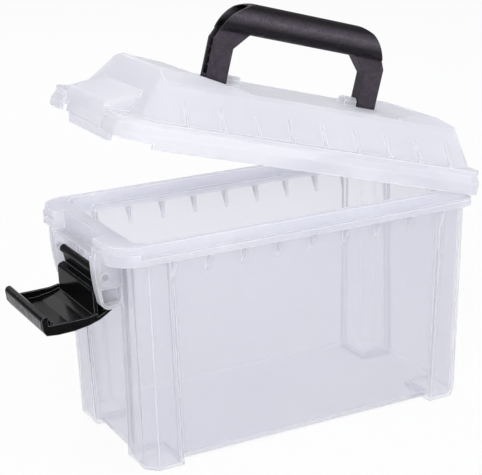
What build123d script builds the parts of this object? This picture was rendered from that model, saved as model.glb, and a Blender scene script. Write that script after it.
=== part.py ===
from build123d import *
import math
import os

# Craft storage case: a drafted tub, a domed lid on a rod hinge, a swinging
# carrying handle and a snap-over latch. Millimetres, +Z up, front towards -Y,
# latch end towards -X, hinge end towards +X. The case is drawn with the middle
# of its four feet at the origin, and written with its own middle there.

# Longer than the case, for cuts that run right through it
beyond = 400.0

# Tub body
foot_half_length = 111.0
foot_half_width = 54.5
ledge_height = 133.6
draft = 0.02
corner_cut = 7.5
wall = 2.0
floor_height = 4.0
foot_edge = 1.6
panel_recess = 3.0
panel_head = 2.1
side_column_top = 20.0
side_column_foot = 23.5
end_column_top = 22.5
end_column_foot = 29.0

recess_top = ledge_height - panel_head
column_edge_x_top = foot_half_length - side_column_top
column_edge_x_foot = foot_half_length - side_column_foot
column_edge_y_top = foot_half_width - end_column_top
column_edge_y_foot = foot_half_width - end_column_foot

# Rim of the tub
rim_overhang_side = 7.5
rim_overhang_latch = 17.8
rim_overhang_hinge = 5.0
rim_radius_latch = 20.0
rim_radius_hinge = 12.0
rim_wall = 1.8
skirt_height = 4.1
raised_ledge_rise = 3.0
raised_ledge_length = 16.8
lip_height = 7.1
lip_inset = 2.0
lip_inset_latch = 1.2
latch_skirt_taper = 1.6

rim_half_width = foot_half_width + rim_overhang_side
rim_latch_x = -foot_half_length - rim_overhang_latch
rim_hinge_x = foot_half_length + rim_overhang_hinge
skirt_bottom = ledge_height - skirt_height
raised_ledge_height = ledge_height + raised_ledge_rise
raised_ledge_x = rim_latch_x + raised_ledge_length
lip_top = ledge_height + lip_height

# Gussets under the rim
gusset_count = 9
gusset_seat = 0.2
gusset_thickness = 1.6
gusset_drop = 13.0
gusset_drop_column = 26.0

gusset_pitch = 2 * (column_edge_x_top + gusset_seat) / (gusset_count - 1)

# Latch, its pivot and the ears that hold it
latch_half_width = 27.7
flap_side = 3.3
latch_cheek = 1.8
latch_rod_radius = 2.5
latch_pivot_inset = 5.4
latch_pivot_drop = 15.6
pivot_clearance = 0.1
trunnion_sunk = 0.7
ear_gap = 0.5
ear_thickness = 6.8
ear_wall = 1.8
ear_boss = 0.7
ear_boss_reach = 3.0
ear_boss_drop = 5.8
ear_boss_round = 4.0
ear_pocket_drop = 7.4

latch_x = rim_latch_x + latch_pivot_inset
latch_z = ledge_height - latch_pivot_drop
flap_half_width = latch_half_width + flap_side
latch_trunnion = ear_gap + ear_thickness - trunnion_sunk
ear_inner_y = latch_half_width + ear_gap
ear_outer_y = ear_inner_y + ear_thickness

# Hinge
hinge_out = 2.8
hinge_drop = 2.6
hinge_pin_radius = 1.25
hinge_bore_clearance = 0.06
knuckle_radius = 3.2
knuckle_centre_y = 30.0
lid_knuckle_length = 8.0
tub_knuckle_length = 6.0
knuckle_gap = 0.5
knuckle_web = 4.0

hinge_x = rim_hinge_x + hinge_out
hinge_z = ledge_height - hinge_drop
pin_half_length = knuckle_centre_y + lid_knuckle_length / 2 + knuckle_gap + tub_knuckle_length

# Lid
lid_open_angle = 15.3
lid_gap = 0.3
lid_overhang_side = 0.2
lid_overhang_latch = 1.4
lid_overhang_hinge = 4.6
lid_radius_growth = 3.0
lid_wall = 1.9
roof_wall_factor = 1.25
lid_step_rise = 4.0
lid_band_inset = 1.8
lid_band_height = 3.4
shelf_side = 7.7
shelf_latch = 16.0
shelf_hinge = 6.1
roof_rise = 22.2
roof_lean_side = 16.7
roof_lean_latch = 11.9
roof_lean_hinge = 9.0
roof_foot_corner = 12.0
roof_top_corner = 5.0
roof_edge_bevel = 3.5
roof_edge_drop = 0.9
plateau_latch_rise = 5.0
plateau_hinge_rise = 3.7
plateau_edge = 9.8
plateau_drop = 1.5
plateau_round = 3.0
lid_rib_depth = 4.6
lid_rib_height = 14.0
lid_rib_thickness = 1.6
lid_rib_centre_x = 1.5

lid_half_width = rim_half_width + lid_overhang_side
lid_latch_x = rim_latch_x - lid_overhang_latch
lid_hinge_x = rim_hinge_x + lid_overhang_hinge
lid_step_height = lip_top + lid_gap
lid_step_top = lid_step_height + lid_step_rise
lid_shelf_height = lid_step_top + lid_band_height
roof_foot_half_width = lid_half_width - shelf_side
roof_foot_latch_x = lid_latch_x + shelf_latch
roof_foot_hinge_x = lid_hinge_x - shelf_hinge
roof_top_half_width = roof_foot_half_width - roof_lean_side
roof_top_latch_x = roof_foot_latch_x + roof_lean_latch
roof_top_hinge_x = roof_foot_hinge_x - roof_lean_hinge
roof_height = lid_shelf_height + roof_rise
plateau_latch_height = roof_height + plateau_latch_rise
plateau_hinge_height = roof_height + plateau_hinge_rise
plateau_half_flat = roof_top_half_width - plateau_edge
plateau_latch_x = [roof_top_latch_x + step for step in (4.3, 31.3, 56.3)]
plateau_hinge_x = [roof_top_hinge_x - step for step in (43.5, 23.5, 9.5, 0)]

# Latch tongue on the lid
tongue_side = 1.8
tongue_notch_gap = 1.2
tongue_drop = 2.7
tongue_inset = 4.9
tongue_rear = 2.4
tongue_rise = 3.2
tongue_overhang = 0.8
tongue_skirt_inset = 3.2
hood_round = 2.6
hood_length = 25.2
hood_rise = 13.6

tongue_half_width = latch_half_width + tongue_side
tongue_bottom = ledge_height - tongue_drop
tongue_bottom_x = rim_latch_x + tongue_inset
tongue_top = lid_shelf_height + tongue_rise
tongue_top_x = lid_latch_x + tongue_overhang
tongue_face_x = lid_latch_x + tongue_skirt_inset
tongue_roof_x = lid_latch_x + hood_length
tongue_roof_z = lid_shelf_height + hood_rise

# Handle
handle_x = 3.4
handle_half_outer = 60.8
leg_width = 13.5
leg_depth = 8.6
pivot_above_roof = 1.8
leg_foot = 4.7
shoulder_rise_outer = 23.5
shoulder_rise_inner = 19.1
grip_rise = 28.6
grip_height = 18.5
grip_depth = 17.0
grip_round = 6.5
grip_bend_rise = 9.9
grip_end_inset = 2.6
grip_bend_inset = 8.2
grip_top_inset = 23.8
grip_taper_inset = 24.8
grip_corner_inset = 9.0
grip_plan_bulge = 1.5
grip_plan_bend = 0.35
handle_trunnion_radius = 2.0
handle_trunnion_length = 6.6
channel_depth = 3.4
channel_rim = 1.7
channel_rib = 1.3
channel_rib_sink = 1.8
channel_start = 2.0
channel_bays = 5

handle_half_inner = handle_half_outer - leg_width
handle_pivot_z = roof_height + pivot_above_roof
leg_bottom = handle_pivot_z - leg_foot
leg_shoulder_outer = handle_pivot_z + shoulder_rise_outer
leg_shoulder_inner = handle_pivot_z + shoulder_rise_inner
grip_bottom = handle_pivot_z + grip_rise
grip_top = grip_bottom + grip_height
grip_bend_height = grip_bottom + grip_bend_rise
grip_half_end = handle_half_outer - grip_end_inset
grip_half_bend = handle_half_outer - grip_bend_inset
grip_half_top = handle_half_outer - grip_top_inset
grip_taper_start = handle_half_outer - grip_taper_inset
grip_inner_corner = handle_half_inner - grip_corner_inset

# Lugs and pockets for the handle
lug_length = 9.0
lug_half_depth = 4.0
lug_rise = 3.2
lug_bevel = 2.0
leg_gap = 0.7
pocket_front = 7.2
pocket_back = 19.5
pocket_depth = 1.7

lug_top = handle_pivot_z + lug_rise
pocket_floor = leg_bottom - pocket_depth


def half_length(z):
    return foot_half_length + draft * z


def half_width(z):
    return foot_half_width + draft * z


def column_edge_x(z):
    return column_edge_x_foot + (column_edge_x_top - column_edge_x_foot) * z / recess_top


def column_edge_y(z):
    return column_edge_y_foot + (column_edge_y_top - column_edge_y_foot) * z / recess_top


def cut_rectangle(z, x0, x1, half_y, cut):
    """Rectangle with its four corners cut at 45 degrees, as a face at height z."""
    points = [
        (x0 + cut, -half_y),
        (x1 - cut, -half_y),
        (x1, -half_y + cut),
        (x1, half_y - cut),
        (x1 - cut, half_y),
        (x0 + cut, half_y),
        (x0, half_y - cut),
        (x0, -half_y + cut),
    ]
    return make_face(Polyline(*[(x, y, z) for x, y in points], close=True))


def rounded_plan(x0, x1, half_y, radius0, radius1):
    """Plan with corner radius0 at the x0 end and radius1 at the x1 end."""
    plan = make_face(Polyline((x0, -half_y), (x1, -half_y), (x1, half_y), (x0, half_y), close=True))
    ends = plan.vertices().sort_by(Axis.X)
    plan = fillet(ends[:2], radius0)
    ends = plan.vertices().sort_by(Axis.X)
    return fillet(ends[-2:], radius1)


def plate(plan, z0, z1):
    return Pos(0, 0, z0) * extrude(plan, z1 - z0)


def box(x0, x1, y0, y1, z0, z1):
    return Pos((x0 + x1) / 2, (y0 + y1) / 2, (z0 + z1) / 2) * Box(x1 - x0, y1 - y0, z1 - z0)


def prism_xz(points, y0, y1):
    """Outline in the XZ plane, extruded from y0 to y1."""
    face = make_face(Polyline(*[(x, y0, z) for x, z in points], close=True))
    return extrude(face, y1 - y0, dir=(0, 1, 0))


def prism_yz(points, x0, x1):
    """Outline in the YZ plane, extruded from x0 to x1."""
    face = make_face(Polyline(*[(x0, y, z) for y, z in points], close=True))
    return extrude(face, x1 - x0, dir=(1, 0, 0))


def rod_y(x, z, radius, y0, y1):
    return Pos(x, (y0 + y1) / 2, z) * Rot(90, 0, 0) * Cylinder(radius, y1 - y0)


def rod_x(y, z, radius, x0, x1):
    return Pos((x0 + x1) / 2, y, z) * Rot(0, 90, 0) * Cylinder(radius, x1 - x0)


def tub_block(inset, z0, z1):
    """Drafted body of the tub without its recessed panels."""
    sections = []
    for z in (z0, z1):
        x = half_length(z) - inset
        cut = corner_cut - inset * (2 - math.sqrt(2))
        sections.append(cut_rectangle(z, -x, x, half_width(z) - inset, cut))
    return loft(sections, ruled=True)


def recess(side_of_x, inset, z0, z1):
    """Space in front of one recessed panel: on an end when side_of_x, else on a long side."""
    reach = 20.0
    sections = []
    for z in (z0, z1):
        if side_of_x:
            deep = half_length(z) - panel_recess - inset
            edge = column_edge_y(z) + inset
            points = [(deep, -edge), (deep + reach, -edge), (deep + reach, edge), (deep, edge)]
        else:
            deep = half_width(z) - panel_recess - inset
            edge = column_edge_x(z) + inset
            points = [(-edge, deep), (edge, deep), (edge, deep + reach), (-edge, deep + reach)]
        sections.append(make_face(Polyline(*[(x, y, z) for x, y in points], close=True)))
    return loft(sections, ruled=True)


def recesses(inset, z0, z1):
    end = recess(True, inset, z0, z1)
    side = recess(False, inset, z0, z1)
    return end + mirror(end, Plane.YZ) + side + mirror(side, Plane.XZ)


def tub_body():
    body = tub_block(0, 0, lip_top)
    foot_edges = body.edges().filter_by(lambda edge: edge.center().Z < 0.01)
    body = chamfer(foot_edges, foot_edge)
    body -= recesses(0, -1, recess_top)
    foot_x = column_edge_x(0)
    foot_y = column_edge_y(0)
    far = foot_half_length + 10
    body -= box(-foot_x, foot_x, -far, far, -1, floor_height)
    body -= box(-far, far, -foot_y, foot_y, -1, floor_height)
    cavity = tub_block(wall, floor_height + wall, lip_top + 1)
    cavity -= recesses(wall, floor_height, recess_top + wall)
    body -= cavity
    pocket_x = foot_x + wall
    pocket_y = foot_y + wall
    pockets = tub_block(wall, wall, floor_height + wall + 0.5)
    pockets -= box(-pocket_x, pocket_x, -far, far, 0, floor_height + 10)
    pockets -= box(-far, far, -pocket_y, pocket_y, 0, floor_height + 10)
    return body - pockets


def rim_plan(inset, latch_inset, side_inset):
    """Plan of the rim: its skirt, or its lip when the insets are those of the lip."""
    side = inset + side_inset
    return rounded_plan(
        rim_latch_x + inset + latch_inset,
        rim_hinge_x - side,
        rim_half_width - side,
        rim_radius_latch - side,
        rim_radius_hinge - side,
    )


def rim_block(inset, top_inset, bottom):
    """Solid under the rim's outer skin, moved in by inset and lowered by top_inset."""
    skirt = rim_plan(inset, 0, 0)
    base = plate(skirt, bottom, ledge_height - top_inset)
    raised = plate(skirt, bottom, raised_ledge_height - top_inset)
    raised &= box(-beyond, raised_ledge_x, -beyond, beyond, 0, beyond)
    lip = plate(rim_plan(inset, lip_inset_latch, lip_inset), bottom, lip_top - top_inset)
    return base + raised + lip


def tongue_notch(grow):
    """Space in the latch end of the rim for the lid's tongue."""
    half = tongue_half_width + tongue_notch_gap + grow
    rear = tongue_bottom_x + tongue_rear + tongue_notch_gap / 2 + grow
    return box(rim_latch_x - 5, rear, -half, half, skirt_bottom - 5, lip_top + 5)


def latch_end_taper():
    """Wedge that slants the foot of the skirt inwards at the latch end."""
    x = rim_latch_x
    z = raised_ledge_height - 1.0
    points = [(x - 1, z), (x, z), (x + latch_skirt_taper, skirt_bottom - 1), (x - 1, skirt_bottom - 1)]
    return prism_xz(points, -rim_half_width - 1, rim_half_width + 1)


def rim():
    skin = rim_block(0, 0, skirt_bottom) - latch_end_taper()
    space = rim_block(rim_wall, rim_wall, skirt_bottom - 1)
    space -= tongue_notch(rim_wall)
    core = tub_block(wall / 2, skirt_bottom - 2, lip_top + 1)
    return skin - space - core


def gusset(x, drop):
    z_wall = skirt_bottom - drop
    y_wall = half_width(z_wall) - panel_recess - wall / 2
    y_rim = rim_half_width - rim_wall / 2
    points = [
        (-y_wall, z_wall),
        (-y_rim, skirt_bottom),
        (-y_rim + lip_inset, ledge_height),
        (-y_rim + lip_inset, lip_top - rim_wall / 2),
        (-y_wall, lip_top - rim_wall / 2),
    ]
    return prism_yz(points, x - gusset_thickness / 2, x + gusset_thickness / 2)


def gussets():
    cavity = tub_block(wall, 0, lip_top + 1) - recesses(wall, 0, recess_top + wall)
    result = Part()
    for i in range(gusset_count):
        x = (i - (gusset_count - 1) / 2) * gusset_pitch
        drop = gusset_drop_column if i in (0, gusset_count - 1) else gusset_drop
        one = gusset(x, drop)
        result += one + mirror(one, Plane.XZ)
    return result - cavity


def ear_outline():
    """Side view of one latch ear, from the rim down to its rounded foot."""
    x_in = -half_length(latch_z) + wall / 2
    top = lip_top - rim_wall / 2
    inner_foot = (x_in, 0, latch_z - 19.1)
    inner_top = (x_in, 0, top)
    outer_top = (rim_latch_x + rim_wall, 0, top)
    brow = (latch_x - 6.0, 0, latch_z + 12.0)
    cheek = (latch_x - 5.4, 0, latch_z - 1.0)
    jaw = (latch_x - 3.2, 0, latch_z - 14.2)
    chin = (latch_x - 1.6, 0, latch_z - 18.0)
    foot = (latch_x + 1.8, 0, latch_z - 19.7)
    edges = [
        Line(inner_foot, inner_top),
        Line(inner_top, outer_top),
        Line(outer_top, brow),
        ThreePointArc(brow, cheek, jaw),
        ThreePointArc(jaw, chin, foot),
        Line(foot, inner_foot),
    ]
    return make_face(edges)


def ear_boss_face(y):
    """Raised, round-cornered field around the pivot on the outside of an ear."""
    x_in = -half_length(latch_z) + wall / 2
    left = latch_x - ear_boss_reach
    corner = ear_boss_round
    low = latch_z - ear_boss_drop
    bulge = corner * (1 - math.sqrt(0.5))
    edges = [
        Line((left, y, low + corner), (left, y, skirt_bottom + 1)),
        Line((left, y, skirt_bottom + 1), (x_in, y, skirt_bottom + 1)),
        Line((x_in, y, skirt_bottom + 1), (x_in, y, low)),
        Line((x_in, y, low), (left + corner, y, low)),
        ThreePointArc((left + corner, y, low), (left + bulge, y, low + bulge), (left, y, low + corner)),
    ]
    return make_face(edges)


def ear():
    thick = ear_outer_y - ear_inner_y
    outline = ear_outline()
    solid = Pos(0, ear_inner_y, 0) * extrude(outline, thick, dir=(0, 1, 0))
    hollow = extrude(offset(outline, -ear_wall), thick, dir=(0, 1, 0))
    hollow = Pos(0, ear_inner_y + ear_wall, 0) * hollow
    hollow &= box(-beyond, -half_length(0) - wall, 0, beyond, 0, latch_z - ear_pocket_drop)
    solid += extrude(ear_boss_face(ear_outer_y - 1), ear_boss + 1, dir=(0, 1, 0))
    return solid - hollow - rod_y(latch_x, latch_z, latch_rod_radius + pivot_clearance, 0, beyond)


def tub_knuckle(y0, y1):
    barrel = rod_y(hinge_x, hinge_z, knuckle_radius, y0, y1)
    points = [
        (rim_hinge_x - rim_wall, skirt_bottom),
        (hinge_x, hinge_z - knuckle_radius),
        (hinge_x, hinge_z + knuckle_web / 2),
        (rim_hinge_x - rim_wall, ledge_height - rim_wall / 2),
    ]
    return barrel + prism_xz(points, y0, y1)


def tub_hinge():
    result = Part()
    start = lid_knuckle_length / 2 + knuckle_gap
    for centre in (-knuckle_centre_y, knuckle_centre_y):
        for side in (-1, 1):
            near = centre + side * start
            far = near + side * tub_knuckle_length
            result += tub_knuckle(min(near, far), max(near, far))
    return result


def tub():
    solid = tub_body() + rim() + gussets()
    one_ear = ear()
    solid += one_ear
    solid += mirror(one_ear, Plane.XZ)
    solid += tub_hinge()
    reach = lid_knuckle_length / 2 + knuckle_gap
    for centre in (-knuckle_centre_y, knuckle_centre_y):
        solid -= rod_y(hinge_x, hinge_z, knuckle_radius + lid_gap, centre - reach, centre + reach)
    solid -= rod_y(hinge_x, hinge_z, hinge_pin_radius, -pin_half_length, pin_half_length)
    floor_of_notch = tongue_bottom - tongue_notch_gap
    return solid - (tongue_notch(0) & box(-beyond, 0, -beyond, beyond, floor_of_notch, beyond))


def hinge_pin():
    return rod_y(hinge_x, hinge_z, hinge_pin_radius, -pin_half_length, pin_half_length)


def lid_plan(inset):
    return rounded_plan(
        lid_latch_x + inset,
        lid_hinge_x - inset,
        lid_half_width - inset,
        rim_radius_latch - inset,
        rim_radius_hinge + lid_radius_growth - inset,
    )


def rounded_rectangle(z, x0, x1, half_y, radius):
    corners = [(x0, -half_y, z), (x1, -half_y, z), (x1, half_y, z), (x0, half_y, z)]
    plan = make_face(Polyline(*corners, close=True))
    return fillet(plan.vertices(), radius)


def roof_at(z, inset):
    """Section of the sloping roof walls at height z, moved in by inset."""
    rise = (z - lid_shelf_height) / (roof_height - lid_shelf_height)
    x0 = roof_foot_latch_x + (roof_top_latch_x - roof_foot_latch_x) * rise
    x1 = roof_foot_hinge_x + (roof_top_hinge_x - roof_foot_hinge_x) * rise
    half = roof_foot_half_width + (roof_top_half_width - roof_foot_half_width) * rise
    radius = roof_foot_corner + (roof_top_corner - roof_foot_corner) * rise - inset / 2
    side = inset * roof_wall_factor
    return rounded_rectangle(z, x0 + side, x1 - side, half - side, radius)


def roof_section(top, half_flat):
    """Cross-section that bounds the roof from above: flat in the middle, bevelled at the edges."""
    edge = roof_top_half_width
    points = [(-edge - 20, 0), (-edge - 20, roof_height - 20), (-edge, roof_height - roof_edge_drop)]
    points += [(-half_flat, top)]
    return points + [(-y, z) for y, z in reversed(points)]


def lowered(points, inset):
    return [(a, max(b - inset, 0)) for a, b in points]


def roof_cap(inset):
    """Everything under the top faces of the roof: the flat top and its two end plateaus."""
    far = beyond
    flat = roof_section(roof_height, roof_top_half_width - roof_edge_bevel)
    cap = prism_yz(lowered(flat, inset), -far, far)
    start, bend, end = plateau_latch_x
    profile = [(-far, 0), (end, 0), (end, roof_height), (bend, plateau_latch_height - plateau_drop)]
    profile += [(start, plateau_latch_height), (-far, plateau_latch_height)]
    section = roof_section(plateau_latch_height, plateau_half_flat)
    plateau = prism_xz(lowered(profile, inset), -far, far)
    cap += plateau & prism_yz(lowered(section, inset), -far, far)
    start, top, crest, end = plateau_hinge_x
    profile = [(far, 0), (start, 0), (start, roof_height), (top, plateau_hinge_height)]
    profile += [(crest, plateau_hinge_height), (end, roof_height), (far, roof_height)]
    section = roof_section(plateau_hinge_height, plateau_half_flat)
    plateau = prism_xz(lowered(profile, inset), -far, far)
    return cap + (plateau & prism_yz(lowered(section, inset), -far, far))


def roof_block(inset, z0):
    walls = loft([roof_at(z0, inset), roof_at(plateau_latch_height + 1, inset)], ruled=True)
    block = walls & roof_cap(inset)
    if inset > 0:
        return block
    across = block.edges().filter_by(lambda edge: abs((edge @ 0).X - (edge @ 1).X) < 0.01)
    brow = across.group_by(Axis.Z)[-1].sort_by(Axis.X)[0]
    return fillet(brow, plateau_round)


def tongue_block(inset):
    """Tongue and its hood at the latch end of the lid."""
    half = tongue_half_width - inset
    slope = (tongue_top_x - tongue_bottom_x) / (tongue_top - tongue_bottom)
    front = inset * math.hypot(1, slope)
    bottom = tongue_bottom - inset * 2
    rear = tongue_bottom_x + tongue_rear + inset * 20
    points = [
        (tongue_bottom_x + slope * (bottom - tongue_bottom) + front, bottom),
        (tongue_top_x + front, tongue_top - inset),
        (tongue_roof_x, tongue_roof_z - inset),
        (tongue_roof_x, lid_shelf_height - 2),
        (rear, lid_step_height + 1),
        (rear, bottom),
    ]
    block = prism_xz(points, -half, half)
    if inset > 0:
        return block
    front_corners = block.faces().sort_by(Axis.X)[0].edges().sort_by(Axis.Z)[1:3]
    brow_and_sides = block.faces().sort_by(Axis.Z)[-1].edges().sort_by(Axis.X)[:-1]
    return fillet(front_corners + brow_and_sides, hood_round)


def lid_skin(inset):
    """Outer skin of the lid, or its hollow when inset is the wall thickness."""
    bottom = ledge_height + lid_gap - inset
    step_top = lid_step_top - inset / 2
    shelf = lid_shelf_height - inset
    skirt = plate(lid_plan(inset), bottom, lid_step_height)
    low = Pos(0, 0, lid_step_height) * lid_plan(inset)
    high = Pos(0, 0, step_top) * lid_plan(lid_band_inset + inset)
    shoulder = loft([low, high], ruled=True)
    band = plate(lid_plan(lid_band_inset + inset), lid_step_height, shelf)
    half = tongue_half_width - inset
    clear = box(lid_latch_x - 5, tongue_face_x + inset, -half, half, bottom - 5, lid_shelf_height + 5)
    return skirt + shoulder + band + roof_block(inset, shelf - 1) - clear


def lid_rib(x):
    foot_y = roof_foot_half_width - lid_wall / 2
    slope = (roof_foot_half_width - roof_top_half_width) / (roof_height - lid_shelf_height)
    top = lid_shelf_height + lid_rib_height
    points = [
        (-foot_y, lid_shelf_height - 0.5),
        (-foot_y - lid_rib_depth, lid_shelf_height - 0.5),
        (-foot_y + slope * lid_rib_height - 0.5, top),
        (-foot_y + slope * lid_rib_height + 1, top),
    ]
    return prism_yz(points, x - lid_rib_thickness / 2, x + lid_rib_thickness / 2)


def lid_ribs():
    result = Part()
    for i in range(gusset_count):
        x = lid_rib_centre_x + (i - (gusset_count - 1) / 2) * gusset_pitch
        one = lid_rib(x)
        result += one + mirror(one, Plane.XZ)
    return result


def leg_pocket(side, grow):
    """Pocket in the lid for the foot of one handle leg; side is -1 or 1."""
    inner = handle_x + side * (handle_half_inner - leg_gap - grow)
    outer = handle_x + side * (handle_half_outer + leg_gap + grow)
    return box(
        min(inner, outer),
        max(inner, outer),
        -pocket_front - grow,
        pocket_back + grow,
        pocket_floor - grow,
        plateau_latch_height + 1,
    )


def lug(side):
    inner = handle_x + side * (handle_half_inner - leg_gap)
    far = inner - side * lug_length
    x0 = min(inner, far)
    points = [
        (-lug_half_depth, roof_height - 1),
        (-lug_half_depth, lug_top - lug_bevel),
        (-lug_half_depth + lug_bevel, lug_top),
        (lug_half_depth - lug_bevel, lug_top),
        (lug_half_depth, lug_top - lug_bevel),
        (lug_half_depth, roof_height - 1),
    ]
    return prism_yz(points, x0, x0 + lug_length)


def lid_knuckle(y0, y1):
    barrel = rod_y(hinge_x, hinge_z, knuckle_radius, y0, y1)
    points = [
        (hinge_x - 1.4, hinge_z),
        (hinge_x + knuckle_radius, hinge_z),
        (lid_hinge_x, ledge_height + 6),
        (lid_hinge_x - lid_wall, ledge_height + 6),
    ]
    return barrel + prism_xz(points, y0, y1)


def knuckle_notch(centre):
    """Clears the skirt of the lid above the tub's knuckles."""
    half = lid_knuckle_length / 2 + knuckle_gap + tub_knuckle_length + knuckle_gap
    top = hinge_z + knuckle_radius + 1.2
    return box(hinge_x - 10, lid_hinge_x + 5, centre - half, centre + half, ledge_height - 5, top)


def lid():
    solid = lid_skin(0)
    hollow = lid_skin(lid_wall)
    notch_x = raised_ledge_x + lid_gap
    skirt_notch = box(-beyond, notch_x, -beyond, beyond, 0, raised_ledge_height + lid_gap)
    for side in (-1, 1):
        hollow -= leg_pocket(side, lid_wall)
    tongue_hollow = tongue_block(lid_wall)
    solid -= skirt_notch + hollow + tongue_hollow
    solid += tongue_block(0) - tongue_hollow
    solid += lid_ribs() - lid_skin(lid_wall)
    for side in (-1, 1):
        solid += lug(side)
        solid -= leg_pocket(side, 0)
        inner = handle_x + side * (handle_half_inner - leg_gap + 1)
        far = inner - side * (handle_trunnion_length + 1.2)
        radius = handle_trunnion_radius + pivot_clearance
        solid -= rod_x(0, handle_pivot_z, radius, min(inner, far), max(inner, far))
    half = lid_knuckle_length / 2
    for centre in (-knuckle_centre_y, knuckle_centre_y):
        solid -= knuckle_notch(centre)
        solid += lid_knuckle(centre - half, centre + half)
    radius = hinge_pin_radius + hinge_bore_clearance
    return solid - rod_y(hinge_x, hinge_z, radius, -pin_half_length, pin_half_length)


def handle_outline():
    """Outer edge of the right half of the handle, from the leg's foot to the top of the grip."""
    return [
        Line((handle_half_outer, 0, leg_bottom), (handle_half_outer, 0, leg_shoulder_outer)),
        Line((handle_half_outer, 0, leg_shoulder_outer), (grip_half_end, 0, grip_bottom)),
        ThreePointArc(
            (grip_half_end, 0, grip_bottom),
            (grip_half_bend, 0, grip_bend_height),
            (grip_half_top, 0, grip_top),
        ),
    ]


def handle_half(depth):
    """Right half of the handle as a slab of the given depth, with no grip opening."""
    corners = [
        (grip_half_top, 0, grip_top),
        (0, 0, grip_top),
        (0, 0, leg_bottom),
        (handle_half_outer, 0, leg_bottom),
    ]
    face = make_face(handle_outline() + list(Polyline(*corners).edges()))
    return extrude(face, depth / 2, dir=(0, 1, 0), both=True)


def handle_leg():
    """Right leg and shoulder, with the handle centred on X = 0."""
    opening = [
        (-1, leg_bottom - 1),
        (handle_half_inner, leg_bottom - 1),
        (handle_half_inner, leg_shoulder_inner),
        (grip_inner_corner, grip_bottom),
        (grip_inner_corner, grip_top + 1),
        (-1, grip_top + 1),
    ]
    leg = handle_half(leg_depth) - prism_xz(opening, -leg_depth, leg_depth)
    feet = leg.edges().filter_by(Axis.X).filter_by(lambda edge: edge.center().Z < leg_bottom + 0.01)
    leg = fillet(feet, leg_depth / 3)
    end = handle_half_inner - handle_trunnion_length
    return leg + rod_x(0, handle_pivot_z, handle_trunnion_radius, end, handle_half_inner + 1)


def grip_plan(inset):
    """Top view of the right half of the grip, drawn in at the end to the leg's depth."""
    half = grip_depth / 2 - inset
    end_half = leg_depth / 2 - inset
    start = grip_taper_start
    end = grip_half_end + grip_end_inset
    bend_x = (start + end) / 2 + grip_plan_bulge
    bend_y = half + (end_half - half) * grip_plan_bend
    edges = [
        Line((0, -half, 0), (start, -half, 0)),
        ThreePointArc((start, -half, 0), (bend_x, -bend_y, 0), (end, -end_half, 0)),
        Line((end, -end_half, 0), (end, end_half, 0)),
        ThreePointArc((end, end_half, 0), (bend_x, bend_y, 0), (start, half, 0)),
        Line((start, half, 0), (0, half, 0)),
        Line((0, half, 0), (0, -half, 0)),
    ]
    return extrude(make_face(edges), beyond)


def half_grip(inset):
    """Right half of the grip, or the hollow in its end when inset is the wall beside it."""
    depth = grip_depth - 2 * inset
    height = grip_top - grip_bottom - 2 * inset
    section = Plane.YZ * RectangleRounded(depth, height, grip_round - inset)
    section = Pos(0, 0, (grip_top + grip_bottom) / 2) * section
    bar = extrude(section, grip_half_end + grip_end_inset, dir=(1, 0, 0))
    return handle_half(grip_depth) & grip_plan(inset) & bar


def handle_channel():
    """Channel down the outside of the right leg and into the grip's end, crossed by ribs."""
    width = leg_depth - 2 * channel_rim
    start = handle_pivot_z + channel_start
    core = Pos(-channel_depth, 0, -channel_depth / 2) * handle_half(grip_depth)
    channel = handle_half(width) + half_grip(channel_rim) - core
    channel &= box(grip_half_top, beyond, -grip_depth, grip_depth, start, grip_top - channel_rim)
    sunk = Pos(-channel_rib_sink, 0, -channel_rib_sink / 2) * handle_half(width)
    pitch = (grip_bottom - start) / channel_bays
    for i in range(1, channel_bays):
        z = start + i * pitch
        channel -= sunk & box(0, beyond, -width, width, z - channel_rib / 2, z + channel_rib / 2)
    return channel


def handle():
    leg = handle_leg()
    channel = handle_channel()
    grip = half_grip(0)
    whole = grip + mirror(grip, Plane.YZ) + leg + mirror(leg, Plane.YZ)
    whole -= channel + mirror(channel, Plane.YZ)
    return Pos(handle_x, 0, 0) * whole


def flap_profile():
    """Bowed shell of the latch in the XZ plane about its pivot, with its hooked lip."""
    outer = [
        (-37.6, -20.4),
        (-36.9, -26.6),
        (-35.0, -29.6),
        (-28.0, -30.2),
        (-18.2, -29.8),
        (-9.0, -28.2),
        (-2.8, -26.2),
        (1.1, -24.0),
        (4.9, -21.6),
    ]
    inner = [
        (4.9, -20.3),
        (3.4, -20.6),
        (-0.2, -22.6),
        (-4.0, -24.4),
        (-9.8, -26.2),
        (-18.2, -27.7),
        (-28.0, -28.0),
        (-33.4, -27.6),
        (-33.9, -20.6),
        (-33.3, -19.0),
        (-34.6, -18.1),
        (-36.6, -18.6),
    ]
    return outer + inner


def latch_tail():
    """Narrow tail of the shell behind the ears, up to the rod."""
    return [
        (-1.4, -0.5),
        (2.4, -0.5),
        (2.7, -8.0),
        (4.9, -14.0),
        (9.4, -17.4),
        (10.8, -17.0),
        (10.8, -18.6),
        (6.5, -21.4),
        (1.1, -24.0),
        (-0.2, -22.8),
        (4.6, -18.6),
        (2.4, -14.6),
        (0.3, -8.6),
    ]


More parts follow.
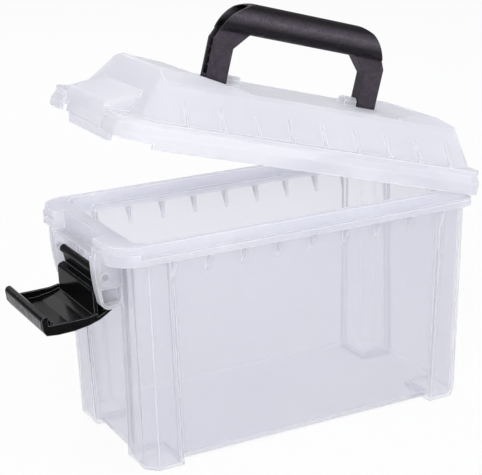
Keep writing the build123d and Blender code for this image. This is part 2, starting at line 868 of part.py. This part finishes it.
def latch():
    half = latch_half_width
    flap = flap_half_width
    shell = prism_xz(flap_profile(), -flap, flap)
    shell += prism_xz(latch_tail(), -half, half)
    ridge = [(-31.9, -28.5), (-31.6, -22.2), (-30.4, -22.2), (-29.8, -28.5)]
    shell += prism_xz(ridge, -flap + latch_cheek, flap - latch_cheek)
    hook = [
        (-4.6, -25.4),
        (-4.9, -10.2),
        (-3.8, -8.6),
        (-0.8, -7.6),
        (1.6, -9.0),
        (-2.4, -10.8),
        (-2.5, -24.4),
    ]
    shell += prism_xz(hook, -half, half)
    cheek = [
        (-34.6, -24.0),
        (-35.0, -29.0),
        (-28.0, -29.4),
        (-18.2, -29.0),
        (-9.0, -27.4),
        (-4.0, -25.6),
        (-4.0, -22.4),
        (-10.2, -23.6),
        (-17.2, -23.8),
    ]
    side = prism_xz(cheek, flap - latch_cheek, flap)
    shell += side + mirror(side, Plane.XZ)
    rod = rod_y(0, 0, latch_rod_radius, -half - latch_trunnion, half + latch_trunnion)
    return Pos(latch_x, 0, latch_z) * (shell + rod)


def open_lid(solid):
    """Turns what belongs to the lid from closed to its resting, half open place."""
    axis = Axis((hinge_x, 0, hinge_z), (0, 1, 0))
    return solid.rotate(axis, lid_open_angle)


def middle_x(solids):
    """Middle of the case as it stands, from the latch's lip to the lid's hinge end."""
    boxes = [solid.bounding_box() for solid in solids]
    return round((min(box.min.X for box in boxes) + max(box.max.X for box in boxes)) / 2, 1)


def write(name, solid, shift):
    solid = Pos(-shift, 0, 0) * solid
    solid.label = name
    export_step(solid, os.path.join("parts", name + ".step"))


pieces = {
    "tub": tub(),
    "hinge_pin": hinge_pin(),
    "lid": open_lid(lid()),
    "handle": open_lid(handle()),
    "latch": latch(),
}
centre = middle_x(pieces.values())
os.makedirs("parts", exist_ok=True)
for piece_name, piece in pieces.items():
    write(piece_name, piece, centre)
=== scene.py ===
import math

import bmesh
import bpy
from mathutils import Matrix, Vector


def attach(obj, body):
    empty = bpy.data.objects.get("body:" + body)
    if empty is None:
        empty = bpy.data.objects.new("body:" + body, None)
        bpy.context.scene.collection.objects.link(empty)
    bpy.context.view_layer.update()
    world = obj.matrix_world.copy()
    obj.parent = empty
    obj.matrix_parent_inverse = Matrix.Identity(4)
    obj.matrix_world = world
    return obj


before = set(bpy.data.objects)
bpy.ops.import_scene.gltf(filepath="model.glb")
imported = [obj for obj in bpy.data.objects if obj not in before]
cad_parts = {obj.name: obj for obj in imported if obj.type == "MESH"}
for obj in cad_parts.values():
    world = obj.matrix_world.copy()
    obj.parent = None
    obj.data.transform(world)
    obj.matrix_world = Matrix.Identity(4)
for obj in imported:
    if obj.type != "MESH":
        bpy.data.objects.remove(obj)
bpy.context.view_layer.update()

# Craft storage case. Metres, +Z up, latch end towards -X, hinge end towards +X.
MM = 0.001

# The middle of the tub's four feet
MIDDLE_X = 18.8 * MM

# The photograph's view: its angles in degrees, and its width and focal length in pixels
VIEW_AZIMUTH = 27.6244
VIEW_ELEVATION = 17.5560
VIEW_ROLL = -1.4587
VIEW_DISTANCE = 868.09 * MM
VIEW_TARGET = Vector((-18.05 * MM + MIDDLE_X, 0, 114.27 * MM))
PHOTO_WIDTH = 482
FOCAL_PIXELS = 1407.4

# The camera's sensor, in a lens's millimetres, and the nearest that it sees
SENSOR_WIDTH = 36.0
NEAREST_SEEN = 0.05

# Soft lamps: name, place, diameter and watts
LAMPS = (
    ("key", (-1.0, -1.3, 1.1), 1.1, 18),
    ("fill", (1.2, -1.2, 0.9), 1.2, 9),
    ("back", (0.3, 1.4, 1.3), 1.2, 7),
)
LAMP_AIM = Vector((0, 0, 0.1))

# The white surroundings and the floor
AMBIENT_STRENGTH = 0.5
FLOOR_HALF = 3.0
FLOOR_GLOW = 0.9

# The latch's pivot, and the outer face of its lip, which leans outwards by the flare
LATCH_PIVOT_X = -104.6 * MM
LATCH_PIVOT_Z = 118.0 * MM
LIP_FOOT_X = LATCH_PIVOT_X - 36.95 * MM
LIP_FOOT_Z = LATCH_PIVOT_Z - 26.1 * MM
LIP_HEIGHT = 6.2 * MM
LIP_FLARE = 0.7 * MM
LIP_LEAN = math.atan2(-LIP_FLARE, LIP_HEIGHT)

# Ridges on that face
RIDGE_LENGTH = 5.2 * MM
RIDGE_RADIUS = 0.4 * MM
RIDGE_PITCH = 1.4 * MM
RIDGE_COUNT = 41
RIDGE_STEPS = 13
RIDGE_SIDES = 12

# A ridge's section at its tips, as a share of the full one, and the share of its length
# over which each tip tapers
RIDGE_TIP = 0.25
RIDGE_TAPER = 0.15

# Skin over the outer end of each ear's bore, whose faces are this far from the middle plane
EAR_CAP_RADIUS = 2.59 * MM
EAR_CAP_INNER = 34.8 * MM
EAR_CAP_RIM = 35.55 * MM
EAR_CAP_OUTER = 35.7 * MM
EAR_CAP_RINGS = 5
EAR_CAP_STEPS = 40
WELD_DISTANCE = 0.001 * MM

# Just past the faces of the tub's columns and panels: what stands out from them is the rim,
# the ears, the knuckles and the gussets, whose flanks face along X
COLUMN_FACE_X = 114.2 * MM
COLUMN_FACE_Y = 57.8 * MM
PANEL_FACE_Y = 54.5 * MM
RIM_SKIRT_Z = 129.5 * MM
GUSSET_FOOT_Z = 103.0 * MM
FLANK_FACING = 0.8

# Milky shares of the frosted plastic. Flat walls with about a quarter come out with contour
# lines, so no flat wall's share is near that.
TUB_MILK = 0.16
RIM_MILK = 0.55
LID_MILK = 0.48
EDGE_MILK = 0.92
EDGE_GLOW_RADIUS = 1.7 * MM

# Edge radii of the mouldings, and the depth of the relief in their faces
FROSTED_EDGE = 0.5 * MM
FROSTED_RELIEF = 0.2 * MM
HANDLE_EDGE = 0.9 * MM
HANDLE_RELIEF = 0.6 * MM
LATCH_EDGE = 0.45 * MM
# The latch's painted edge highlight reaches this far from each edge
LATCH_PAINTED_HIGHLIGHT_RADIUS = 0.55 * MM
LATCH_RELIEF = 0.6 * MM
EDGE_SAMPLES = 6

# How near another wall must be for painted shade to darken the handle's hollows
HOLLOW_REACH = 6.0 * MM
HOLLOW_SAMPLES = 8

# Dot product of the rounded normal and the face's own, on a flat wall and on an edge
FLAT_AGREEMENT = 0.995
EDGE_AGREEMENT = 0.86

# The ends between which a factor does its work: a noise seldom goes past them
FACTOR_LOW = 0.3
FACTOR_HIGH = 0.7

# The handle's own upright direction, and its heights above the hinge rod along it
HINGE = Vector((137.6 * MM, 0, 131.0 * MM))
LID_OPEN_ANGLE = math.radians(15.3)
HANDLE_UP = Vector((math.sin(LID_OPEN_ANGLE), 0, math.cos(LID_OPEN_ANGLE)))
GRIP_FOOT = 66.0 * MM
GRIP_TOP = 88.5 * MM

# Colours
TUB_CLEAR = (0.83, 0.83, 0.88, 1)
LID_CLEAR = (0.88, 0.88, 0.92, 1)
MILK_THIN = (0.96, 0.96, 0.99, 1)
MILK_THICK = (0.92, 0.92, 0.97, 1)
PIN_WHITE = (0.72, 0.73, 0.77, 1)
PIN_PALE = (0.85, 0.86, 0.9, 1)
# Painted shade in the handle's hollows
PAINTED_HOLLOW_SHADE = (0.002, 0.002, 0.002, 1)
LEG_CHARCOAL = (0.052, 0.042, 0.056, 1)
# Painted shade and a painted lit band on the grip, for how the lamps fall on its round section
GRIP_PAINTED_TOP_SHADE = (0.004, 0.003, 0.004, 1)
GRIP_PAINTED_SHADE = (0.010, 0.007, 0.011, 1)
GRIP_PAINTED_LIT_BAND = (0.092, 0.080, 0.098, 1)
GLOSS_BLACK = (0.003, 0.003, 0.003, 1)
GLOSS_BLACK_DUSTY = (0.007, 0.007, 0.008, 1)
# Painted highlight along the latch's edges
GLOSS_BLACK_PAINTED_HIGHLIGHT = (0.22, 0.22, 0.23, 1)
# Painted reflection on the finger grip's ridges
RIDGE_PAINTED_REFLECTION_DIM = (0.085, 0.085, 0.09, 1)
RIDGE_PAINTED_REFLECTION_BRIGHT = (0.24, 0.24, 0.25, 1)
FLOOR_WHITE = (0.97, 0.97, 0.97, 1)
PURE_WHITE = (1, 1, 1, 1)
AMBIENT_WHITE = (0.95, 0.97, 1.0, 1)

# The handle's colours, from 0 at the grip's foot to 1 at its top: charcoal on the legs, then on
# the grip painted shade at its bottom and top with a painted lit band between
HANDLE_PAINTED_LIGHT_STOPS = (
    (0.12, LEG_CHARCOAL),
    (0.24, GRIP_PAINTED_SHADE),
    (0.40, GRIP_PAINTED_SHADE),
    (0.63, GRIP_PAINTED_LIT_BAND),
    (0.86, GRIP_PAINTED_SHADE),
    (1.0, GRIP_PAINTED_TOP_SHADE),
)


class Recipe:
    """A node tree under construction: adds nodes and joins their sockets."""

    def __init__(self, node_tree):
        self.nodes = node_tree.nodes
        self.links = node_tree.links
        self.nodes.clear()

    def add(self, kind, settings=None, **values):
        """A new node with its own settings, and a value or a link for each socket named."""
        node = self.nodes.new(kind)
        for key, value in (settings or {}).items():
            setattr(node, key, value)
        for key, value in values.items():
            self.put(node.inputs[key.replace("_", " ")], value)
        return node

    def put(self, socket, value):
        if isinstance(value, bpy.types.NodeSocket):
            self.links.new(value, socket)
        else:
            socket.default_value = value


class Shading(Recipe):
    """The node tree of a material or a world."""

    def __init__(self, owner, output="ShaderNodeOutputMaterial"):
        owner.use_nodes = True
        super().__init__(owner.node_tree)
        self.owner = owner
        self.output = output

    def finish(self, shader):
        self.add(self.output, Surface=shader)
        return self.owner


def start_material(name):
    return Shading(bpy.data.materials.new(name))


# Parts of the recipes


def object_coordinates(recipe):
    return recipe.add("ShaderNodeTexCoord").outputs["Object"]


def face_normal(recipe):
    return recipe.add("ShaderNodeNewGeometry").outputs["Normal"]


def split(recipe, vector):
    """The X, Y and Z of a vector."""
    return recipe.add("ShaderNodeSeparateXYZ", Vector=vector).outputs


def stretched(recipe, place, scale):
    return recipe.add("ShaderNodeMapping", Vector=place, Scale=scale).outputs["Vector"]


def noise(recipe, place, scale, detail=3.0, roughness=0.5):
    texture = recipe.add(
        "ShaderNodeTexNoise", Vector=place, Scale=scale, Detail=detail, Roughness=roughness
    )
    return texture.outputs["Fac"]


def calculate(recipe, operation, *values):
    node = recipe.add("ShaderNodeMath", {"operation": operation})
    for socket, value in zip(node.inputs, values):
        recipe.put(socket, value)
    return node.outputs["Value"]


def without_sign(recipe, value):
    return calculate(recipe, "ABSOLUTE", value)


def past(recipe, value, limit):
    """1 where the value is larger than the limit, else 0."""
    return calculate(recipe, "GREATER_THAN", value, limit)


def all_of(recipe, first, *others):
    """1 where every share is 1, and 0 where one of them is 0."""
    for share in others:
        first = calculate(recipe, "MULTIPLY", first, share)
    return first


def any_of(recipe, first, *others):
    """1 where one of the shares is 1, and 0 where every share is 0."""
    for share in others:
        first = calculate(recipe, "MAXIMUM", first, share)
    return first


def dot_product(recipe, first, second):
    node = recipe.add("ShaderNodeVectorMath", {"operation": "DOT_PRODUCT"})
    recipe.put(node.inputs[0], first)
    recipe.put(node.inputs[1], second)
    return node.outputs["Value"]


def rescale(recipe, value, start, end, low=0.0, high=1.0):
    """The value, from start to end, turned into the range from low to high."""
    limits = {"From_Min": start, "From_Max": end, "To_Min": low, "To_Max": high}
    return recipe.add("ShaderNodeMapRange", Value=value, **limits).outputs["Result"]


def spread(recipe, factor, low, high):
    """The factor, between the ends where it works, stretched to the range from low to high."""
    return rescale(recipe, factor, FACTOR_LOW, FACTOR_HIGH, low, high)


def colour_socket(sockets, name):
    """A Mix node has sockets of one name for every kind of value: this is the one for colours."""
    return next(socket for socket in sockets if socket.name == name and socket.type == "RGBA")


def blend_colours(recipe, factor, low, high):
    """The colour low at the factor's low end, and the colour high at its high end."""
    mix = recipe.add("ShaderNodeMix", {"data_type": "RGBA"})
    recipe.put(mix.inputs["Factor"], spread(recipe, factor, 0.0, 1.0))
    recipe.put(colour_socket(mix.inputs, "A"), low)
    recipe.put(colour_socket(mix.inputs, "B"), high)
    return colour_socket(mix.outputs, "Result")


def mix_shaders(recipe, factor, first, second):
    mix = recipe.add("ShaderNodeMixShader", Fac=factor)
    recipe.put(mix.inputs[1], first)
    recipe.put(mix.inputs[2], second)
    return mix.outputs["Shader"]


def soft_edges(recipe, radius):
    """Normals rounded over the moulding's small edge radius."""
    bevel = recipe.add("ShaderNodeBevel", {"samples": EDGE_SAMPLES}, Radius=radius)
    return bevel.outputs["Normal"]


def relief(recipe, height, strength, depth, radius):
    """Normals with soft edges and a fine relief in the faces."""
    bump = recipe.add(
        "ShaderNodeBump",
        Height=height,
        Strength=strength,
        Distance=depth,
        Normal=soft_edges(recipe, radius),
    )
    return bump.outputs["Normal"]


def edge_share(recipe, radius, flat, edge):
    """The value flat on a flat wall, rising to the value edge along ribs and steps."""
    agreement = dot_product(recipe, soft_edges(recipe, radius), face_normal(recipe))
    return rescale(recipe, agreement, FLAT_AGREEMENT, EDGE_AGREEMENT, flat, edge)


# Materials of the case


def tub_milk(recipe):
    """Milky share of the tub's walls, larger in the rim, the ears, the knuckles and gussets."""
    place = split(recipe, object_coordinates(recipe))
    facing = split(recipe, face_normal(recipe))
    lengthwise = without_sign(recipe, calculate(recipe, "SUBTRACT", place["X"], MIDDLE_X))
    across = without_sign(recipe, place["Y"])
    gusset = all_of(
        recipe,
        past(recipe, without_sign(recipe, facing["X"]), FLANK_FACING),
        past(recipe, across, PANEL_FACE_Y),
        past(recipe, place["Z"], GUSSET_FOOT_Z),
    )
    thick = any_of(
        recipe,
        gusset,
        past(recipe, lengthwise, COLUMN_FACE_X),
        past(recipe, across, COLUMN_FACE_Y),
        past(recipe, place["Z"], RIM_SKIRT_Z),
    )
    return rescale(recipe, thick, 0.0, 1.0, TUB_MILK, RIM_MILK)


def frosted_plastic(recipe, clear_tint, wall_milk):
    """Frosted polypropylene: a clear part blurs what is behind it, and a milky part glows."""
    place = object_coordinates(recipe)
    flow = noise(recipe, place, scale=14.0, detail=2.0)
    grain = noise(recipe, place, scale=900.0, detail=2.0)
    normal = relief(recipe, grain, strength=0.06, depth=FROSTED_RELIEF, radius=FROSTED_EDGE)
    clear = recipe.add(
        "ShaderNodeBsdfPrincipled",
        Base_Color=clear_tint,
        Roughness=spread(recipe, flow, 0.14, 0.19),
        Normal=normal,
        Transmission_Weight=1.0,
        IOR=1.07,
        Coat_Weight=0.6,
        Coat_Roughness=0.25,
    )
    tint = blend_colours(recipe, flow, MILK_THICK, MILK_THIN)
    lit = recipe.add("ShaderNodeBsdfDiffuse", Color=tint, Normal=normal)
    glowing = recipe.add("ShaderNodeBsdfTranslucent", Color=tint, Normal=normal)
    milk = mix_shaders(recipe, 0.5, lit.outputs["BSDF"], glowing.outputs["BSDF"])
    share = edge_share(recipe, EDGE_GLOW_RADIUS, wall_milk, EDGE_MILK)
    return recipe.finish(mix_shaders(recipe, share, clear.outputs["BSDF"], milk))


def frosted_tub():
    recipe = start_material("frosted_tub")
    return frosted_plastic(recipe, TUB_CLEAR, tub_milk(recipe))


def frosted_lid():
    return frosted_plastic(start_material("frosted_lid"), LID_CLEAR, LID_MILK)


def pin_plastic():
    """Pale plastic rod with faint streaks along it."""
    recipe = start_material("pin_plastic")
    drawn = stretched(recipe, object_coordinates(recipe), (400.0, 20.0, 400.0))
    streaks = noise(recipe, drawn, scale=1.0, detail=2.0)
    shader = recipe.add(
        "ShaderNodeBsdfPrincipled",
        Base_Color=blend_colours(recipe, streaks, PIN_WHITE, PIN_PALE),
        Roughness=spread(recipe, streaks, 0.3, 0.45),
    )
    return recipe.finish(shader.outputs["BSDF"])


def handle_painted_light(recipe, place):
    """Charcoal on the legs, and on the grip a painted lit band between painted shade at its
    bottom and top.
    """
    rod_height = HINGE.dot(HANDLE_UP)
    height = dot_product(recipe, place, HANDLE_UP)
    level = rescale(recipe, height, GRIP_FOOT + rod_height, GRIP_TOP + rod_height)
    ramp = recipe.add("ShaderNodeValToRGB", Fac=level)
    stops = ramp.color_ramp.elements
    stops.remove(stops[-1])
    stops[0].position, stops[0].color = HANDLE_PAINTED_LIGHT_STOPS[0]
    for position, colour in HANDLE_PAINTED_LIGHT_STOPS[1:]:
        stops.new(position).color = colour
    return ramp.outputs["Color"]


def handle_plastic():
    """Charcoal moulding with a leathery grain, painted glints in the grain's lighter flecks,
    painted light and shade on the grip and painted shade in the hollows.
    """
    recipe = start_material("handle_plastic")
    place = object_coordinates(recipe)
    grain = noise(recipe, place, scale=800.0, detail=4.0, roughness=0.7)
    lengthened = stretched(recipe, place, (0.4, 1.0, 1.0))
    blotches = noise(recipe, lengthened, scale=190.0, detail=6.0, roughness=0.7)
    mottle = spread(recipe, blotches, 0.8, 1.2)
    # The grain's lighter flecks: partly its own tone, partly painted glints
    grain_tone_and_painted_glints = spread(recipe, grain, 0.65, 1.35)
    gain = calculate(recipe, "MULTIPLY", mottle, grain_tone_and_painted_glints)
    # The grain and blotches scale the handle's colours, including the grip's painted light and
    # shade
    grain_and_painted_light = recipe.add("ShaderNodeVectorMath", {"operation": "SCALE"}, Scale=gain)
    recipe.put(grain_and_painted_light.inputs[0], handle_painted_light(recipe, place))
    # Painted shade: black blended into the colour where another wall is near, in the hollows
    painted_hollow_shade = recipe.add(
        "ShaderNodeAmbientOcclusion", {"samples": HOLLOW_SAMPLES}, Distance=HOLLOW_REACH
    )
    open_share = painted_hollow_shade.outputs["AO"]
    shader = recipe.add(
        "ShaderNodeBsdfPrincipled",
        Base_Color=blend_colours(recipe, open_share, PAINTED_HOLLOW_SHADE, grain_and_painted_light.outputs["Vector"]),
        Roughness=spread(recipe, grain, 0.36, 0.52),
        Normal=relief(recipe, grain, strength=1.0, depth=HANDLE_RELIEF, radius=HANDLE_EDGE),
        Specular_IOR_Level=0.15,
    )
    return recipe.finish(shader.outputs["BSDF"])


def latch_plastic():
    """Glossy black moulding with painted highlights along its edges, a trace of dust and slight
    sink marks.
    """
    recipe = start_material("latch_plastic")
    place = object_coordinates(recipe)
    sink = noise(recipe, place, scale=60.0, detail=2.0)
    dust = noise(recipe, place, scale=380.0, detail=4.0, roughness=0.65)
    face = blend_colours(recipe, dust, GLOSS_BLACK, GLOSS_BLACK_DUSTY)
    # Painted highlight: a paler colour along the edges
    edges = edge_share(recipe, LATCH_PAINTED_HIGHLIGHT_RADIUS, 0.0, 1.0)
    shader = recipe.add(
        "ShaderNodeBsdfPrincipled",
        Base_Color=blend_colours(recipe, edges, face, GLOSS_BLACK_PAINTED_HIGHLIGHT),
        Roughness=spread(recipe, dust, 0.12, 0.19),
        Normal=relief(recipe, sink, strength=0.08, depth=LATCH_RELIEF, radius=LATCH_EDGE),
        Specular_IOR_Level=0.03,
    )
    return recipe.finish(shader.outputs["BSDF"])


def ridge_plastic():
    """The latch's black, painted grey on the finger grip's ridges as a patchy painted reflection.
    """
    recipe = start_material("ridge_plastic")
    # Painted reflection: the ridges' grey, in patches
    blotches = noise(recipe, object_coordinates(recipe), scale=420.0)
    shader = recipe.add(
        "ShaderNodeBsdfPrincipled",
        Base_Color=blend_colours(recipe, blotches, RIDGE_PAINTED_REFLECTION_DIM, RIDGE_PAINTED_REFLECTION_BRIGHT),
        Roughness=spread(recipe, blotches, 0.5, 0.35),
        Specular_IOR_Level=0.3,
    )
    return recipe.finish(shader.outputs["BSDF"])


def dress(node, material):
    """Gives a carried-over CAD node its finished material."""
    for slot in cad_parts[node].material_slots:
        slot.material = material


# Small pieces that the CAD doesn't have


def add_object(name, data):
    piece = bpy.data.objects.new(name, data)
    bpy.context.collection.objects.link(piece)
    return piece


def ear_cap(name, side, plastic):
    """Slightly domed skin that closes an ear's bore, outside the end of the latch's rod."""
    profile = [
        (0.0, EAR_CAP_INNER),
        (EAR_CAP_RADIUS, EAR_CAP_INNER),
        (EAR_CAP_RADIUS, EAR_CAP_RIM),
    ]
    for ring in range(1, EAR_CAP_RINGS + 1):
        share = 1 - ring / EAR_CAP_RINGS
        rise = (EAR_CAP_OUTER - EAR_CAP_RIM) * (1 - share * share)
        profile.append((EAR_CAP_RADIUS * share, EAR_CAP_RIM + rise))
    bm = bmesh.new()
    line = [bm.verts.new((LATCH_PIVOT_X + radius, y, LATCH_PIVOT_Z)) for radius, y in profile]
    edges = [bm.edges.new(pair) for pair in zip(line, line[1:])]
    bmesh.ops.spin(
        bm,
        geom=line + edges,
        cent=(LATCH_PIVOT_X, 0, LATCH_PIVOT_Z),
        axis=(0, 1, 0),
        angle=math.tau,
        steps=EAR_CAP_STEPS,
        use_duplicate=False,
    )
    bmesh.ops.remove_doubles(bm, verts=bm.verts, dist=WELD_DISTANCE)
    if side < 0:
        bmesh.ops.scale(bm, vec=(1, -1, 1), verts=bm.verts)
    bmesh.ops.recalc_face_normals(bm, faces=bm.faces)
    mesh = bpy.data.meshes.new(name)
    bm.to_mesh(mesh)
    bm.free()
    mesh.materials.append(plastic)
    cap = add_object(name, mesh)
    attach(cap, "base")


def ridge_taper(recipe):
    """Size of a ridge's section along it: full in the middle and small at both tips."""
    place = recipe.add("GeometryNodeSplineParameter").outputs["Factor"]
    taper = recipe.add("ShaderNodeFloatCurve", Value=place)
    curve = taper.mapping.curves[0]
    curve.points[0].location = (0.0, RIDGE_TIP)
    curve.points[1].location = (1.0, RIDGE_TIP)
    curve.points.new(RIDGE_TAPER, 1.0)
    curve.points.new(1 - RIDGE_TAPER, 1.0)
    taper.mapping.update()
    return taper.outputs["Value"]


def finger_grip_tree():
    """Geometry nodes: upright rounded ridges, side by side along Y."""
    tree = bpy.data.node_groups.new("finger_grip", "GeometryNodeTree")
    tree.is_modifier = True
    inputs = {}
    for name, kind in (
        ("Ridge Count", "NodeSocketInt"),
        ("Ridge Pitch", "NodeSocketFloat"),
        ("Ridge Length", "NodeSocketFloat"),
        ("Ridge Radius", "NodeSocketFloat"),
        ("First Ridge", "NodeSocketVector"),
        ("Lean", "NodeSocketFloat"),
        ("Plastic", "NodeSocketMaterial"),
    ):
        socket = tree.interface.new_socket(name, in_out="INPUT", socket_type=kind)
        inputs[name] = socket.identifier
    tree.interface.new_socket("Ridges", in_out="OUTPUT", socket_type="NodeSocketGeometry")

    recipe = Recipe(tree)
    given = recipe.add("NodeGroupInput").outputs
    head = recipe.add("ShaderNodeCombineXYZ", Z=given["Ridge Length"])
    line = recipe.add("GeometryNodeCurvePrimitiveLine", End=head.outputs["Vector"])
    spine = recipe.add(
        "GeometryNodeResampleCurve", Curve=line.outputs["Curve"], Count=RIDGE_STEPS
    )
    section = recipe.add(
        "GeometryNodeCurvePrimitiveCircle", Resolution=RIDGE_SIDES, Radius=given["Ridge Radius"]
    )
    ridge = recipe.add(
        "GeometryNodeCurveToMesh",
        Curve=spine.outputs["Curve"],
        Profile_Curve=section.outputs["Curve"],
        Scale=ridge_taper(recipe),
        Fill_Caps=True,
    )
    step = recipe.add("ShaderNodeCombineXYZ", Y=given["Ridge Pitch"])
    row = recipe.add(
        "GeometryNodeMeshLine",
        Count=given["Ridge Count"],
        Start_Location=given["First Ridge"],
        Offset=step.outputs["Vector"],
    )
    lean = recipe.add("ShaderNodeCombineXYZ", Y=given["Lean"])
    placed = recipe.add(
        "GeometryNodeInstanceOnPoints",
        Points=row.outputs["Mesh"],
        Instance=ridge.outputs["Mesh"],
        Rotation=lean.outputs["Vector"],
    )
    real = recipe.add("GeometryNodeRealizeInstances", Geometry=placed.outputs["Instances"])
    moulded = recipe.add(
        "GeometryNodeSetMaterial", Geometry=real.outputs["Geometry"], Material=given["Plastic"]
    )
    recipe.add("NodeGroupOutput", Ridges=moulded.outputs["Geometry"])
    return tree, inputs


def finger_grip(plastic):
    """Fine ridges on the outer face of the latch's lip, where a finger pulls it."""
    tree, inputs = finger_grip_tree()
    start = add_object("finger_grip_start", bpy.data.meshes.new("finger_grip_start"))
    modifier = start.modifiers.new("ridges", "NODES")
    modifier.node_group = tree
    values = {
        "Ridge Count": RIDGE_COUNT,
        "Ridge Pitch": RIDGE_PITCH,
        "Ridge Length": RIDGE_LENGTH,
        "Ridge Radius": RIDGE_RADIUS,
        "First Ridge": Vector((LIP_FOOT_X, -RIDGE_PITCH * (RIDGE_COUNT - 1) / 2, LIP_FOOT_Z)),
        "Lean": LIP_LEAN,
        "Plastic": plastic,
    }
    for name, value in values.items():
        modifier[inputs[name]] = value
    evaluated = start.evaluated_get(bpy.context.evaluated_depsgraph_get())
    mesh = bpy.data.meshes.new_from_object(evaluated)
    bpy.data.objects.remove(start)
    mesh.name = "finger_grip"
    grip = add_object("finger_grip", mesh)
    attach(grip, "latch")


# The studio


def floor_paper():
    """White paper: mostly evenly white to the eye, with a faint shadow left in it."""
    recipe = start_material("floor_paper")
    ray = recipe.add("ShaderNodeLightPath").outputs
    seen = any_of(recipe, ray["Is Camera Ray"], ray["Is Glossy Ray"], ray["Is Transmission Ray"])
    share = calculate(recipe, "MULTIPLY", seen, FLOOR_GLOW)
    paper = recipe.add("ShaderNodeBsdfDiffuse", Color=FLOOR_WHITE)
    glow = recipe.add("ShaderNodeEmission", Color=PURE_WHITE, Strength=1.0)
    shader = mix_shaders(recipe, share, paper.outputs["BSDF"], glow.outputs["Emission"])
    return recipe.finish(shader)


def studio_floor():
    half = FLOOR_HALF
    corners = [(-half, -half, 0), (half, -half, 0), (half, half, 0), (-half, half, 0)]
    mesh = bpy.data.meshes.new("floor")
    mesh.from_pydata(corners, [], [(0, 1, 2, 3)])
    mesh.materials.append(floor_paper())
    floor = add_object("floor", mesh)


def studio_world():
    """White to the eye and through the plastic, and half as bright as a light."""
    recipe = Shading(bpy.data.worlds.new("studio"), "ShaderNodeOutputWorld")
    ray = recipe.add("ShaderNodeLightPath").outputs
    seen = any_of(recipe, ray["Is Camera Ray"], ray["Is Transmission Ray"])
    ambient = recipe.add("ShaderNodeBackground", Color=AMBIENT_WHITE, Strength=AMBIENT_STRENGTH)
    backdrop = recipe.add("ShaderNodeBackground", Color=PURE_WHITE, Strength=1.0)
    shader = mix_shaders(
        recipe, seen, ambient.outputs["Background"], backdrop.outputs["Background"]
    )
    bpy.context.scene.world = recipe.finish(shader)


def soft_lamp(name, place, diameter, watts):
    lamp = bpy.data.lights.new(name, "AREA")
    lamp.shape = "DISK"
    lamp.size = diameter
    lamp.energy = watts
    direction = LAMP_AIM - Vector(place)
    turn = direction.to_track_quat("-Z", "Y").to_matrix().to_4x4()
    add_object(name, lamp).matrix_world = Matrix.Translation(place) @ turn


def photo_camera():
    """Camera at the photograph's angle, distance and framing."""
    azimuth = math.radians(VIEW_AZIMUTH)
    elevation = math.radians(VIEW_ELEVATION)
    roll = math.radians(VIEW_ROLL)
    back = Vector((
        -math.sin(azimuth) * math.cos(elevation),
        -math.cos(azimuth) * math.cos(elevation),
        math.sin(elevation),
    ))
    right = (-back).cross(Vector((0, 0, 1))).normalized()
    up = right.cross(-back)
    rolled_right = right * math.cos(roll) + up * math.sin(roll)
    rolled_up = up * math.cos(roll) - right * math.sin(roll)
    turn = Matrix((rolled_right, rolled_up, back)).transposed().to_4x4()
    data = bpy.data.cameras.new("camera")
    data.sensor_width = SENSOR_WIDTH
    data.lens = FOCAL_PIXELS * SENSOR_WIDTH / PHOTO_WIDTH
    data.clip_start = NEAREST_SEEN
    camera = add_object("camera", data)
    camera.matrix_world = Matrix.Translation(VIEW_TARGET + back * VIEW_DISTANCE) @ turn
    bpy.context.scene.camera = camera


photo_camera()
studio_world()
studio_floor()
for name, place, diameter, watts in LAMPS:
    soft_lamp(name, place, diameter, watts)

tub_plastic = frosted_tub()
dress("tub", tub_plastic)
dress("lid", frosted_lid())
dress("hinge_pin", pin_plastic())
dress("handle", handle_plastic())
dress("latch", latch_plastic())
finger_grip(ridge_plastic())
ear_cap("ear_cap_front", -1, tub_plastic)
ear_cap("ear_cap_rear", 1, tub_plastic)

bpy.context.scene.view_settings.view_transform = "Standard"
